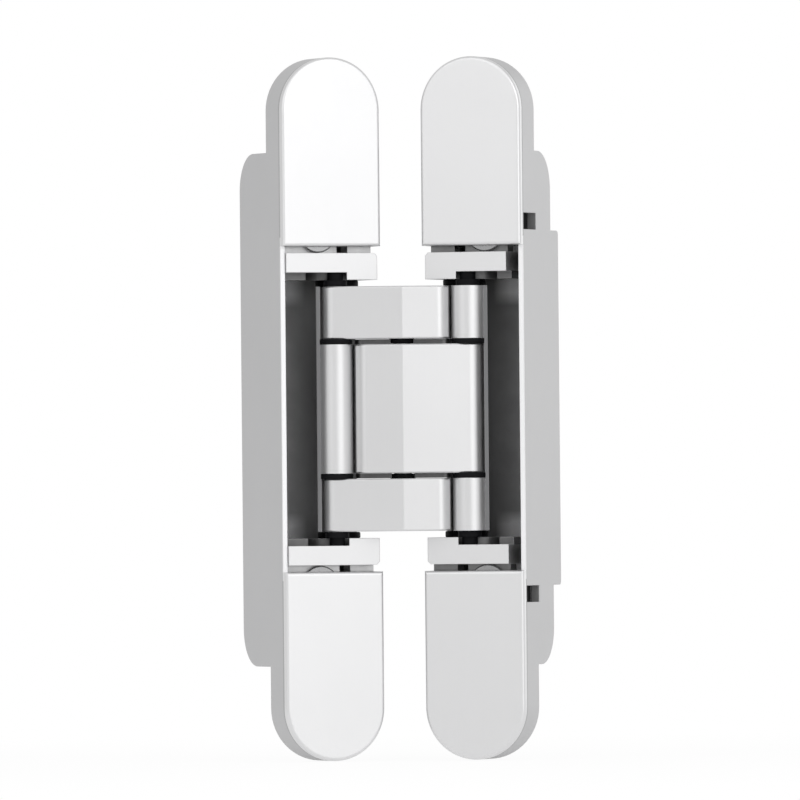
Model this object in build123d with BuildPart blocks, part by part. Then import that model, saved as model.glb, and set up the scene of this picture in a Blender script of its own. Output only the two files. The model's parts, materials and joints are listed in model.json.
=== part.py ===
"""Concealed door hinge: two mortised leaves joined by arms that cross like scissors."""
import os
from math import cos, radians, sin, sqrt

from build123d import *

os.makedirs("parts", exist_ok=True)

# Leaf: width across the door edge, length up the door, depth into the door
leaf_width = 24.0
leaf_length = 160.0
flange_depth = 10.0
wall = 1.1
floor_wall = 2.0
body_length = 117.0
body_corner = 8.5
left_body_depth = 26.6
right_body_depth = 20.8
right_box_depth = 26.0
right_box_length = 81.0
right_box_corner = 1.0

# Pocket of a leaf, open in front and, for the arms, on the side of the other leaf
block_end_gap = 1.5
notch_gap = 0.5
tail_end_gap = 0.8

# Front covers with their pegs
cover_depth = 1.7
cover_edge = 0.75
cover_recess = 0.8
cover_rim = 2.5
peg_radius = 2.0
peg_length = 3.5
peg_across = 13.0
peg_clearance = 0.1

# Mounting screw holes under the covers, placed along the part of the flange beyond the mortise box
screw_hole_radius = 2.25
screw_seat_radius = 4.4
screw_seat_depth = 4.3
screw_inner_share = 0.2
screw_outer_share = 0.7

# Access windows in the outer wall of the door leaf
window_beyond_block = 5.0
window_height = 3.8
window_rim = 0.5
window_reach = 8.6
window_recess = 2.1

# Motion: angle of the leaves as modelled and when fully open, and the gap between them when shut
rest_angle = 138.0
open_angle = 180.0
shut_gap = 4.5
arm_turn_ratio = 0.85

# Arms, in plan: pivot in the leaf, centre pin and guide pin, and the outline around them
pivot_in = 5.65
pivot_depth = 11.5
pivot_to_centre = 16.6
guide_across = 15.1
guide_behind = 4.0
elbow_across = 7.9
elbow_behind = 2.6
ridge_behind = 0.5
ear_radius = 3.05
ridge_radius = 1.0
boss_radius = 3.4
elbow_radius = 2.4
knuckle_radius = 3.4
pad_past_elbow = 2.8
pad_past_centre = 10.9
pad_width = 3.4
pad_clearance = 0.1

# Rows up the hinge
middle_arm_height = 29.4
outer_arm_height = 12.0
row_gap = 1.2
bearing_gap = 1.5

# Pins, link barrels with their webs, sleeves, washers and rollers
pivot_pin_radius = 2.5
centre_pin_radius = 2.0
guide_pin_radius = 2.0
guide_tip_radius = 1.2
roller_radius = 1.8
roller_height = 3.0
roller_flange_radius = 2.7
roller_clearance = 0.25
barrel_radius = 3.8
web_thickness = 0.9
web_proud = 0.6
web_front = 1.5
web_back = 4.5
spacer_radius = 3.0
bearing_washer_radius = 4.9
guide_washer_radius = 3.8
centre_washer_radius = 3.0
running_clearance = 0.05
seat_clearance = 0.03
face_clearance = 0.1
sweep_clearance = 0.4
arm_edge = 0.3
pin_recess = 0.5

# End blocks that hold the pins, with tails under the covers
block_front = 1.0
block_inner_gap = 0.6
left_block_gap = 0.1
right_block_gap = 2.8
block_lip = 4.4
block_boss = 1.7
block_corner = 0.7
pin_wall = 1.5
recess_inner_end = 4.0
recess_back = 4.8
recess_corner = 2.5
tail_length = 10.7
tail_thickness = 4.0
tail_side_gap = 1.0
relief_in = 3.9
relief_width = 2.6
relief_height = 2.5
head_gap = 0.6
pin_hole_depth = 4.0
slot_depth = 4.0

# Screws that clamp and adjust the blocks
clamp_in = 6.0
clamp_beyond_block = 6.3
clamp_head_radius = 3.5
clamp_shank_radius = 2.0
clamp_reach = 8.0
adjuster_out = 2.5
adjuster_beyond_block = 4.6
adjuster_head_radius = 4.5
screw_head_height = 1.4
socket_radius = 1.6
socket_depth = 1.0

# Heights of the rows and of the blocks
middle_top = middle_arm_height / 2
outer_low = middle_top + row_gap
outer_top = outer_low + outer_arm_height
boss_low = outer_top + bearing_gap
lip_low = boss_low + block_boss
block_top = lip_low + block_lip

# Blocks in the pocket of a leaf
block_back = pivot_depth + pivot_pin_radius + pin_wall
block_inner_end = leaf_width / 2 - block_inner_gap
left_block_outer_end = leaf_width / 2 - wall - left_block_gap
right_block_outer_end = leaf_width / 2 - wall - right_block_gap
tail_front = cover_depth + screw_head_height + head_gap

# Pocket around the blocks and their tails
opening_top = block_top + block_end_gap
opening_length = 2 * opening_top
notch_depth = block_back + notch_gap
side_cut = 4 * wall
tail_pocket_depth = tail_front + tail_thickness
tail_pocket_end = block_top + tail_length + tail_end_gap

# Screw holes, cover pegs and windows
tab_length = (leaf_length - body_length) / 2
screw_inner_height = body_length / 2 + screw_inner_share * tab_length
screw_outer_height = body_length / 2 + screw_outer_share * tab_length
peg_height = (tail_pocket_end + screw_inner_height - screw_seat_radius) / 2
window_middle = block_top + window_beyond_block + window_height / 2
window_front = cover_depth + window_rim


def turn(point, angle):
    """Turn a plan point about the origin, from the leaf's inward axis towards its depth axis."""
    x, y = point
    c, s = cos(radians(angle)), sin(radians(angle))
    return (x * c - y * s, x * s + y * c)


def plus(a, b):
    """Sum of two plan points."""
    return (a[0] + b[0], a[1] + b[1])


# Plan of the motion in the frame leaf: inward along u, depth along d, both from its front face
leaf_tilt = 90 - rest_angle / 2
pivot = (pivot_in, pivot_depth)
shut_centre_in = pivot_in - sqrt(pivot_to_centre**2 - (pivot_depth + shut_gap / 2) ** 2)
shut_arm = (shut_centre_in - pivot_in, -shut_gap / 2 - pivot_depth)
swing_angles = (0, open_angle / 2, open_angle)


def centre_in_leaf(angle):
    """Centre pin in the frame leaf when the leaves stand at this angle."""
    return plus(pivot, turn(shut_arm, angle / (1 + arm_turn_ratio)))


# Mid frame: the mirror plane of the hinge as modelled, with x across it and y away from the front
rest_centre = centre_in_leaf(rest_angle)
leaf_to_mirror, centre_behind = turn(rest_centre, leaf_tilt)


def guide_in_leaf(angle):
    """Guide pin in the frame leaf when the leaves stand at this angle."""
    arm = turn((-guide_across, guide_behind - centre_behind), -leaf_tilt)
    arm_turn = arm_turn_ratio * (angle - rest_angle) / (1 + arm_turn_ratio)
    return plus(centre_in_leaf(angle), turn(arm, arm_turn))


def guide_beside_arm(angle):
    """Guide pin of the other arm, seen from the middle arm in the mid frame, at this angle."""
    arm = (-guide_across, guide_behind - centre_behind)
    arm_turn = (arm_turn_ratio - 1) * (angle - rest_angle) / (1 + arm_turn_ratio)
    return plus((0, centre_behind), turn(arm, arm_turn))


pivot_mid = turn(pivot, leaf_tilt)
pivot_across = leaf_to_mirror - pivot_mid[0]
pivot_behind = pivot_mid[1]

# Frames: the frame leaf's seat holds the origin, and the door leaf is its mirror image
tilt_cos, tilt_sin = cos(radians(leaf_tilt)), sin(radians(leaf_tilt))
left_frame = Plane.XY
mid_frame = Plane(
    origin=(leaf_to_mirror * tilt_cos, -leaf_to_mirror * tilt_sin - flange_depth, 0),
    x_dir=(tilt_cos, -tilt_sin, 0),
    z_dir=(0, 0, 1),
)
right_frame = Plane(
    origin=mid_frame.from_local_coords(
        (leaf_to_mirror + flange_depth * tilt_sin, flange_depth * tilt_cos, 0)
    ),
    x_dir=mid_frame.x_dir * tilt_cos - mid_frame.y_dir * tilt_sin,
    z_dir=(0, 0, 1),
)


def front_plane(frame, depth):
    """Plane that faces out of a leaf at this depth, with x across the leaf and y up it."""
    origin = frame.from_local_coords((0, depth - flange_depth, 0))
    return Plane(origin=origin, x_dir=frame.x_dir, z_dir=frame.y_dir * -1)


def side_plane(frame):
    """Plane across the leaf's middle, with x along its depth and y up it."""
    return Plane(origin=frame.origin, x_dir=frame.y_dir, z_dir=frame.x_dir)


def in_leaf(side, point):
    """Place in a leaf's frame of a plan point: side is 1 for the frame leaf and -1 for the door leaf."""
    return (side * point[0], point[1] - flange_depth)


def finish(piece, name):
    """Label a finished piece and write it."""
    piece.label = name
    export_step(piece, f"parts/{name}.step")


# Housings


def make_housing(frame, side, name, steps, windows):
    """Cast body of a leaf: steps are the lengths, depths and corners of its mortise box."""
    deepest = max(depth for _, depth, _ in steps)
    screw_places = [(0, z * h) for z in (1, -1) for h in (screw_inner_height, screw_outer_height)]
    with BuildPart() as housing:
        with BuildSketch(front_plane(frame, cover_depth)):
            SlotOverall(leaf_length, leaf_width, rotation=90)
        extrude(amount=cover_depth - flange_depth)
        for length, depth, corner in steps:
            with BuildSketch(side_plane(frame)) as step_profile:
                with Locations(((cover_depth + depth) / 2 - flange_depth, 0)):
                    Rectangle(depth - cover_depth, length)
                fillet(step_profile.vertices().group_by(Axis.X)[-1], corner)
            extrude(amount=leaf_width / 2, both=True)
        with BuildSketch(front_plane(frame, 0)):
            Rectangle(leaf_width - 2 * wall, opening_length)
        extrude(amount=floor_wall - deepest, mode=Mode.SUBTRACT)
        with BuildSketch(front_plane(frame, 0)):
            with Locations((side * leaf_width / 2, 0)):
                Rectangle(side_cut, opening_length)
        extrude(amount=-notch_depth, mode=Mode.SUBTRACT)
        with BuildSketch(front_plane(frame, 0)):
            Rectangle(leaf_width - 2 * wall, 2 * tail_pocket_end)
        extrude(amount=-tail_pocket_depth, mode=Mode.SUBTRACT)
        with BuildSketch(front_plane(frame, cover_depth)):
            with Locations(*screw_places):
                Circle(screw_seat_radius)
        extrude(amount=-screw_seat_depth, mode=Mode.SUBTRACT)
        with BuildSketch(front_plane(frame, cover_depth)):
            with Locations(*screw_places):
                Circle(screw_hole_radius)
        extrude(amount=cover_depth - flange_depth, mode=Mode.SUBTRACT)
        with BuildSketch(front_plane(frame, cover_depth)):
            with GridLocations(peg_across, 2 * peg_height, 2, 2):
                Circle(peg_radius + peg_clearance)
        extrude(amount=-peg_length - peg_clearance, mode=Mode.SUBTRACT)
        with BuildSketch(front_plane(frame, tail_pocket_depth)):
            with Locations(*[(side * clamp_in, z * (block_top + clamp_beyond_block)) for z in (1, -1)]):
                Circle(clamp_shank_radius + seat_clearance)
        extrude(amount=-clamp_reach, mode=Mode.SUBTRACT)
        if windows:
            with BuildSketch(front_plane(frame, window_front)):
                with Locations(*[(-side * leaf_width / 2, z * window_middle) for z in (1, -1)]):
                    Rectangle(2 * window_recess, window_height)
            extrude(amount=-window_reach, mode=Mode.SUBTRACT)
    finish(housing.part, name)


make_housing(left_frame, 1, "left_housing", [(body_length, left_body_depth, body_corner)], False)
right_steps = [
    (body_length, right_body_depth, body_corner),
    (right_box_length, right_box_depth, right_box_corner),
]
make_housing(right_frame, -1, "right_housing", right_steps, True)


# Covers


def make_cover(frame, end, name):
    """Front cover of one end of a leaf: end is 1 for the upper and -1 for the lower one."""
    cover_length = leaf_length / 2 - opening_top
    with BuildPart() as cover:
        with BuildSketch(front_plane(frame, 0)):
            SlotOverall(leaf_length, leaf_width, rotation=90)
            with Locations((0, end * (opening_top - leaf_length / 2))):
                Rectangle(leaf_width, leaf_length, mode=Mode.SUBTRACT)
        extrude(amount=-cover_depth)
        face = cover.faces().sort_by(Axis(frame.origin, frame.y_dir))[0]
        fillet(face.edges(), cover_edge)
        with BuildSketch(front_plane(frame, cover_depth)):
            with Locations((0, end * (opening_top + cover_length / 2))):
                SlotOverall(cover_length - 2 * cover_rim, leaf_width - 2 * cover_rim, rotation=90)
        extrude(amount=cover_recess, mode=Mode.SUBTRACT)
        with BuildSketch(front_plane(frame, cover_depth - cover_recess)):
            with Locations((0, end * peg_height)):
                with GridLocations(peg_across, 0, 2, 1):
                    Circle(peg_radius)
        extrude(amount=-cover_recess - peg_length)
    finish(cover.part, name)


for frame, leaf in ((left_frame, "left"), (right_frame, "right")):
    for end, end_name in ((1, "upper"), (-1, "lower")):
        make_cover(frame, end, f"{leaf}_{end_name}_cover")


# End blocks


def make_block(frame, side, end, outer_end, name):
    """Block that holds the pivot pin and guides the other arm's pin, with a tail under the cover."""
    middle_in = (block_inner_end - outer_end) / 2
    block_plan = in_leaf(side, (middle_in, (block_front + block_back) / 2))
    block_size = (block_inner_end + outer_end, block_back - block_front)
    recess_plan = in_leaf(side, (recess_inner_end - leaf_width / 2, recess_back - leaf_width / 2))
    clamp_place = (side * clamp_in, end * (block_top + clamp_beyond_block))
    adjuster_place = (-side * adjuster_out, end * (block_top + adjuster_beyond_block))
    guide_path = ThreePointArc(*[in_leaf(side, guide_in_leaf(angle)) for angle in swing_angles])
    with BuildPart() as block:
        with BuildSketch(frame.offset(end * lip_low)):
            with Locations(block_plan):
                Rectangle(*block_size)
        extrude(amount=end * block_lip)
        corner_way = Axis(frame.origin, frame.x_dir * side + frame.z_dir * end)
        corner = block.edges().filter_by(Axis(frame.origin, frame.y_dir)).sort_by(corner_way)[-1]
        chamfer(corner, block_corner)
        with BuildSketch(frame.offset(end * boss_low)):
            with Locations(block_plan):
                Rectangle(*block_size)
            with Locations(recess_plan):
                RectangleRounded(leaf_width, leaf_width, recess_corner, mode=Mode.SUBTRACT)
        extrude(amount=end * block_boss)
        with BuildSketch(front_plane(frame, tail_front)):
            with Locations((side * middle_in, end * (block_top + tail_length / 2))):
                Rectangle(block_inner_end + outer_end - tail_side_gap, tail_length)
        extrude(amount=tail_front - tail_pocket_depth)
        with BuildSketch(front_plane(frame, tail_front)):
            with Locations((side * relief_in, end * (block_top + relief_height / 2))):
                Rectangle(relief_width, relief_height)
        extrude(amount=tail_front - tail_pocket_depth, mode=Mode.SUBTRACT)
        with BuildSketch(frame.offset(end * boss_low)):
            with Locations(in_leaf(side, pivot)):
                Circle(pivot_pin_radius + seat_clearance)
        extrude(amount=end * pin_hole_depth, mode=Mode.SUBTRACT)
        with BuildSketch(frame.offset(end * boss_low)):
            SlotArc(guide_path, 2 * (roller_radius + roller_clearance))
        extrude(amount=end * slot_depth, mode=Mode.SUBTRACT)
        with BuildSketch(front_plane(frame, tail_front)):
            with Locations(clamp_place, adjuster_place):
                Circle(clamp_shank_radius + seat_clearance)
        extrude(amount=tail_front - tail_pocket_depth, mode=Mode.SUBTRACT)
    finish(block.part, name)


for frame, side, leaf, outer_end in (
    (left_frame, 1, "left", left_block_outer_end),
    (right_frame, -1, "right", right_block_outer_end),
):
    for end, end_name in ((1, "upper"), (-1, "lower")):
        make_block(frame, side, end, outer_end, f"{leaf}_{end_name}_block")


# Screws that clamp and adjust the blocks


def make_screws(frame, place, head_radius, shank_length, name):
    """Two socket screws in the tails of a leaf's blocks, one at each end."""
    places = [(place[0], end * place[1]) for end in (1, -1)]
    with BuildPart() as screws:
        with BuildSketch(front_plane(frame, tail_front)):
            with Locations(*places):
                Circle(head_radius)
        extrude(amount=screw_head_height)
        with BuildSketch(front_plane(frame, tail_front)):
            with Locations(*places):
                Circle(clamp_shank_radius)
        extrude(amount=-shank_length)
        with BuildSketch(front_plane(frame, tail_front - screw_head_height)):
            with Locations(*places):
                RegularPolygon(socket_radius, 6)
        extrude(amount=-socket_depth, mode=Mode.SUBTRACT)
    finish(screws.part, name)


tail_depth = tail_pocket_depth - tail_front
for frame, side, leaf in ((left_frame, 1, "left"), (right_frame, -1, "right")):
    clamp_place = (side * clamp_in, block_top + clamp_beyond_block)
    adjuster_place = (-side * adjuster_out, block_top + adjuster_beyond_block)
    clamp_length = tail_depth + clamp_reach - face_clearance
    make_screws(frame, clamp_place, clamp_head_radius, clamp_length, f"{leaf}_clamp_screws")
    make_screws(frame, adjuster_place, adjuster_head_radius, tail_depth, f"{leaf}_adjusting_screws")


# Turned pieces: pins, sleeves, washers and rollers


def make_rings(frame, place, outer, bore, spans, name):
    """Rings or rods about one upright axis, each from a low to a high level."""
    with BuildPart() as rings:
        for low, high in spans:
            with BuildSketch(frame.offset(low)):
                with Locations(place):
                    Circle(outer)
                    if bore:
                        Circle(bore, mode=Mode.SUBTRACT)
            extrude(amount=high - low)
    finish(rings.part, name)


def both_ends(low, high):
    """The same span at the upper and the lower end."""
    return [(low, high), (-high, -low)]


pivot_reach = boss_low + pin_hole_depth - face_clearance
washer_low = outer_top + face_clearance
for frame, side, leaf in ((left_frame, 1, "left"), (right_frame, -1, "right")):
    place = in_leaf(side, pivot)
    make_rings(frame, place, pivot_pin_radius, 0, [(-pivot_reach, pivot_reach)], f"{leaf}_pivot_pin")
    make_rings(
        frame,
        place,
        bearing_washer_radius,
        pivot_pin_radius + seat_clearance,
        both_ends(washer_low, boss_low),
        f"{leaf}_bearing_washers",
    )
spacer_bore = pivot_pin_radius + seat_clearance
left_spacer_spans = both_ends(middle_top + face_clearance, washer_low)
left_pivot = in_leaf(1, pivot)
make_rings(left_frame, left_pivot, spacer_radius, spacer_bore, left_spacer_spans, "left_spacer_sleeves")
spacer_reach = outer_low - face_clearance
right_spacer_spans = [(-spacer_reach, spacer_reach)]
right_pivot = in_leaf(-1, pivot)
make_rings(right_frame, right_pivot, spacer_radius, spacer_bore, right_spacer_spans, "right_spacer_sleeve")

centre_place = (0, centre_behind)
centre_reach = outer_top - pin_recess
make_rings(mid_frame, centre_place, centre_pin_radius, 0, [(-centre_reach, centre_reach)], "centre_pin")
centre_washer_spans = both_ends(middle_top + face_clearance, outer_low)
centre_washer_bore = centre_pin_radius + seat_clearance
make_rings(
    mid_frame, centre_place, centre_washer_radius, centre_washer_bore, centre_washer_spans, "centre_washers"
)

shoulder_reach = outer_top + face_clearance
flange_reach = boss_low - face_clearance
tip_reach = flange_reach + roller_height
washer_bore = guide_pin_radius + seat_clearance
roller_bore = guide_tip_radius + seat_clearance
for side, leaf in ((-1, "left"), (1, "right")):
    place = (side * guide_across, guide_behind)
    with BuildPart() as guide_pin:
        with BuildSketch(mid_frame):
            with Locations(place):
                Circle(guide_pin_radius)
        extrude(amount=shoulder_reach, both=True)
        with BuildSketch(mid_frame):
            with Locations(place):
                Circle(guide_tip_radius)
        extrude(amount=tip_reach, both=True)
    finish(guide_pin.part, f"{leaf}_guide_pin")
    with BuildPart() as rollers:
        for radius, reach in ((roller_flange_radius, flange_reach), (roller_radius, tip_reach)):
            for low, high in both_ends(shoulder_reach, reach):
                with BuildSketch(mid_frame.offset(low)):
                    with Locations(place):
                        Circle(radius)
                extrude(amount=high - low)
        with BuildSketch(mid_frame):
            with Locations(place):
                Circle(roller_bore)
        extrude(amount=tip_reach, both=True, mode=Mode.SUBTRACT)
    finish(rollers.part, f"{leaf}_guide_rollers")
    washer_spans = both_ends(middle_top, outer_low)
    make_rings(mid_frame, place, guide_washer_radius, washer_bore, washer_spans, f"{leaf}_guide_washers")


# Links on the guide pins


def make_link(side, spans, name):
    """Barrels round a guide pin in the rows beside its arm, on a web notched for the guide washers."""
    guide = (side * guide_across, guide_behind)
    web_across = guide_across + barrel_radius + web_proud - web_thickness / 2
    web = (side * web_across, guide_behind + (web_back - web_front) / 2)
    stack = mid_frame.offset(-outer_top)
    with BuildPart() as link:
        with BuildSketch(stack):
            with Locations(web):
                Rectangle(web_thickness, web_front + web_back)
        extrude(amount=2 * outer_top)
        for low, high in spans:
            with BuildSketch(mid_frame.offset(low)):
                with Locations(guide):
                    Circle(barrel_radius)
            extrude(amount=high - low)
        with BuildSketch(stack):
            with Locations(guide):
                Circle(guide_pin_radius + seat_clearance)
        extrude(amount=2 * outer_top, mode=Mode.SUBTRACT)
        for low, high in both_ends(middle_top, outer_low):
            with BuildSketch(mid_frame.offset(low)):
                with Locations(guide):
                    Circle(guide_washer_radius + face_clearance)
            extrude(amount=high - low, mode=Mode.SUBTRACT)
    finish(link.part, name)


make_link(-1, [(-middle_top, middle_top)], "left_link")
make_link(1, both_ends(outer_low, outer_top), "right_link")


# Arms


def make_arm(side, low, height, pads, name):
    """Cranked arm, pivoted in the leaf on the given side, with its guide pin in the other leaf."""
    guide = (-side * guide_across, guide_behind)
    centre = (0, centre_behind)
    ridge = (0, ridge_behind)
    elbow = (side * elbow_across, elbow_behind)
    knuckle = (side * pivot_across, pivot_behind)
    sweep = ThreePointArc(*[(-side * x, y) for x, y in map(guide_beside_arm, swing_angles)])
    plane = mid_frame.offset(low)
    with BuildPart() as arm:
        with BuildSketch(plane):
            for place, radius in ((guide, ear_radius), (ridge, ridge_radius), (centre, boss_radius)):
                with Locations(place):
                    Circle(radius)
            make_hull()
        with BuildSketch(plane):
            for place, radius in (
                (centre, boss_radius),
                (ridge, ridge_radius),
                (elbow, elbow_radius),
                (knuckle, knuckle_radius),
            ):
                with Locations(place):
                    Circle(radius)
            make_hull()
        extrude(amount=height)
        for face in (arm.faces().sort_by(Axis.Z)[0], arm.faces().sort_by(Axis.Z)[-1]):
            chamfer(face.outer_wire().edges(), arm_edge)
        with BuildSketch(plane):
            SlotArc(sweep, 2 * (barrel_radius + sweep_clearance))
        extrude(amount=height, mode=Mode.SUBTRACT)
        with BuildSketch(plane):
            with Locations(guide):
                Circle(guide_pin_radius + seat_clearance)
            with Locations(centre):
                Circle(centre_pin_radius + running_clearance)
            with Locations(knuckle):
                Circle(pivot_pin_radius + running_clearance)
        extrude(amount=height, mode=Mode.SUBTRACT)
        if pads:
            pad_elbow_end = elbow_across + pad_past_elbow
            pad_middle = (side * (pad_elbow_end - pad_past_centre) / 2, centre_behind)
            for level, way in ((low + height, 1), (low, -1)):
                with BuildSketch(mid_frame.offset(level)):
                    with Locations(pad_middle):
                        SlotOverall(pad_elbow_end + pad_past_centre, pad_width)
                    with Locations(centre):
                        Circle(centre_washer_radius + pad_clearance, mode=Mode.SUBTRACT)
                extrude(amount=way * (row_gap - pad_clearance))
    finish(arm.part, name)


make_arm(1, outer_low, outer_arm_height, False, "upper_arm")
make_arm(1, -outer_top, outer_arm_height, False, "lower_arm")
make_arm(-1, -middle_top, middle_arm_height, True, "middle_arm")
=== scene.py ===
"""Finishes, screws, washers and studio of a concealed door hinge."""
import json
from math import atan2, cos, pi, radians, sin
from typing import NamedTuple

import bpy
from mathutils import Matrix, Vector


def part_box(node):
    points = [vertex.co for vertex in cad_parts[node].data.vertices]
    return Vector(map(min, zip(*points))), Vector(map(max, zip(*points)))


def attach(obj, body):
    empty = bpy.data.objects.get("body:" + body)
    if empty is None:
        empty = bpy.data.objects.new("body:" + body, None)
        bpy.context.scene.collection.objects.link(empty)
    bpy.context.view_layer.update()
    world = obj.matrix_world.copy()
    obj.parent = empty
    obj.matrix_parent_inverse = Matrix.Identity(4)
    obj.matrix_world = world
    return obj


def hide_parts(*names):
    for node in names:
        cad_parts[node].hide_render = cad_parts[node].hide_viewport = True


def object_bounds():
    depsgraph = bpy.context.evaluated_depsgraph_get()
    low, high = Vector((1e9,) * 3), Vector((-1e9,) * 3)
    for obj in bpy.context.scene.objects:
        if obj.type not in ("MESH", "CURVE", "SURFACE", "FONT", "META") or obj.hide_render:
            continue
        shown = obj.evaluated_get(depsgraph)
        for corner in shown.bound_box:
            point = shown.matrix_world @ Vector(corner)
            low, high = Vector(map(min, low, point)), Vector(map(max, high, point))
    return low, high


bl_info = {
    "name": "Concealed door hinge",
    "version": (1, 0, 0),
    "blender": (4, 5, 0),
    "location": "View3D > Sidebar > Hinge",
    "description": "Dresses a concealed door hinge and sets up its studio",
    "category": "Object",
}

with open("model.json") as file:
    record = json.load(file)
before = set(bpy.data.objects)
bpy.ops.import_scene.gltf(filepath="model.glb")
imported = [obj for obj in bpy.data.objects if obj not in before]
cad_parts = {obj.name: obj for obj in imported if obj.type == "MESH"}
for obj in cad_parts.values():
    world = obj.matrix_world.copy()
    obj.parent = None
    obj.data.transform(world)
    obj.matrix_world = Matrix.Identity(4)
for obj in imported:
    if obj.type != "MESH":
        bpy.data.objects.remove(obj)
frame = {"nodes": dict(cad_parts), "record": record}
cad_low, cad_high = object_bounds()
MM = 0.001
MICRON_DIGITS = 6

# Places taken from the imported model
LEAVES = ("left", "right")
MOUNTS = {mount["name"]: mount for mount in frame["record"]["mounts"]}
DOOR_SCREW = MOUNTS["door_screw_upper"]
DOOR_DEPTH_WAY = Vector(DOOR_SCREW["axis"])
DOOR_SEAT = Vector(DOOR_SCREW["pos_m"]) + DOOR_DEPTH_WAY * DOOR_SCREW["dims"]["length_mm"] / 2 * MM
DOOR_SEAT.z = 0
DOOR_TURN = atan2(-DOOR_DEPTH_WAY.x, DOOR_DEPTH_WAY.y)
LEAF_MATRIX = {
    "left": Matrix.Identity(4),
    "right": Matrix.Translation(DOOR_SEAT) @ Matrix.Rotation(DOOR_TURN, 4, "Z"),
}
LEAF_TURN = {"left": 0.0, "right": DOOR_TURN}
OUTWARD = {"left": -1, "right": 1}
FLANGE_DEPTH = -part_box("left_upper_cover")[0].y
LEAF_HALF_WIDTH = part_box("left_upper_cover")[1].x
POCKET_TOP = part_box("left_upper_cover")[0].z
BLOCK_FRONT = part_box("left_upper_block")[0].y
BLOCK_INNER_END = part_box("left_upper_block")[1].x
FRONT_LEFT = Vector((0, -FLANGE_DEPTH, 0))
FRONT_RIGHT = DOOR_SEAT - DOOR_DEPTH_WAY * FLANGE_DEPTH
MIDDLE = (FRONT_LEFT + FRONT_RIGHT) / 2
UP = Vector((0, 0, 1))
ACROSS = (FRONT_RIGHT - FRONT_LEFT).normalized()
AWAY = UP.cross(ACROSS)


def levels(node):
    """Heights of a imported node's corners above the middle, lowest first."""
    corners = frame["nodes"][node].data.vertices
    return sorted({round(corner.co.z, MICRON_DIGITS) for corner in corners if corner.co.z > 0})


WASHER_LEVELS = levels("left_guide_washers")
ARM_GAP_LOW = WASHER_LEVELS[0]
ARM_GAP_HIGH = WASHER_LEVELS[-1]
LIP_LOW = levels("left_upper_block")[1]

# Places on the leaves, blocks and links that no packed box gives
COVER_BACK = 1.7 * MM - FLANGE_DEPTH
JOINT_SHADE_BACK = COVER_BACK + 0.8 * MM
WALL_FRONT_BACK = COVER_BACK + 0.3 * MM
OPENING_TOP = POCKET_TOP + 2 * MM
POCKET_BACK = 15.2 * MM
POCKET_HALF_WIDTH = LEAF_HALF_WIDTH - 0.15 * MM
WINDOW_LOW = 40.4 * MM
WINDOW_HIGH = 44.4 * MM
WINDOW_FLOOR = LEAF_HALF_WIDTH - 2.2 * MM
WINDOW_HOLE = LEAF_HALF_WIDTH - 1.9 * MM
WINDOW_FRONT = 2.1 * MM - FLANGE_DEPTH
WINDOW_BACK = 10.9 * MM - FLANGE_DEPTH
LIP_TOP = LIP_LOW + 4.4 * MM
BLOCK_RIM = 0.2 * MM
WEB_INNER_FACE = 18.55 * MM

# Margin to a packed edge, so that all of a face on the edge falls on one side
SLACK = 0.05 * MM

# Places and fades of the painted shade and painted light in the pockets and of the painted shade on the
# arms' heels
DEEP_START = 2.5 * MM
DEEP_END = -5 * MM
GLOW_LOW = 23.5 * MM
GLOW_HIGH = 26.5 * MM
GLOW_INNER = -3 * MM
GLOW_OUTER = 1 * MM
HEEL_ACROSS = 11.0 * MM
HEEL_DEPTH = 9.2 * MM
HEEL_PATCH = 1.0 * MM
HEEL_FADE = 2.2 * MM

# Shares of a finish's colour in the marks on it, and the strength of the painted shade by the covers
# Painted light and shade over each leaf's whole pocket: lighter on the left leaf, darker on the right
POCKET_PAINTED_LIGHT_AND_SHADE = {"left": 1.2, "right": 0.85}
RAW_SHADES = (0.8, 1.25)
# Painted shade deep in the pockets, painted light at their tops and painted shade beside the blocks'
# lips
DEEP_PAINTED_SHADE = 0.4
TOP_PAINTED_LIGHT = 2.2
LIP_PAINTED_SHADE = 0.1
JAMB_SHADE = 0.6
FRONT_SHADE = 1.6
# Painted shade on the flange beside the covers
JOINT_PAINTED_SHADE = 0.4
JOINT_STRENGTH = 0.6
# Painted shade in the blocks' recesses and on their tails, and on the arms' pads and heels
RECESS_PAINTED_SHADES = (0.14, 0.26)
TAIL_PAINTED_SHADES = {"left": (0.6, 0.9), "right": (0.2, 0.4)}
PAD_PAINTED_SHADES = (0.12, 0.24)
HEEL_PAINTED_SHADE = 0.05

# Sizes and detail of the finishes' patterns
TONE_SIZE = 18 * MM
POCKET_NOISE_SIZE = 5 * MM
SHADE_NOISE_SIZE = 3 * MM
NYLON_TONE_SIZE = 4 * MM
COARSE_DETAIL = 2.0
FINE_DETAIL = 3.0
NOISE_MIDDLE = 0.5

# Strengths of the metals' tone, grain, belt lines and worn edges
TONE_SHADES = (0.97, 1.03)
TONE_SHARE = 0.7
BELT_SHARE = 0.3
EDGE_SAMPLES = 6
EDGE_GAIN = 4.0
EDGE_SHARE = 0.5
WORN_SHADE = 1.18
RELIEF_STRENGTH = 0.5
GRAIN_RELIEF = 0.75
BELT_RELIEF = 0.25
GRAIN_ROUGHNESS = 0.12
BELT_ROUGHNESS = 0.08
METAL_SPECULAR = 0.2

# Roughness of the metals that differ from the satin ones
ROUGHER_BLOCKS = 0.04
SMOOTHER_ARMS = 0.02
PIN_ROUGHNESS = 0.28
SCREW_ROUGHNESS = 0.26

# Strengths of the nylon's tone and grain
NYLON_SHADES = (0.8, 1.3)
NYLON_RELIEF = 0.4
NYLON_GRAIN_HEIGHT = 0.01 * MM
NYLON_ROUGHNESS = 0.55
NYLON_GRAIN_ROUGHNESS = 0.2
NYLON_SPECULAR = 0.08

# Sockets of a Mix node that carry its colours
MIX_FIRST = 6
MIX_SECOND = 7
MIX_RESULT = 2

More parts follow.
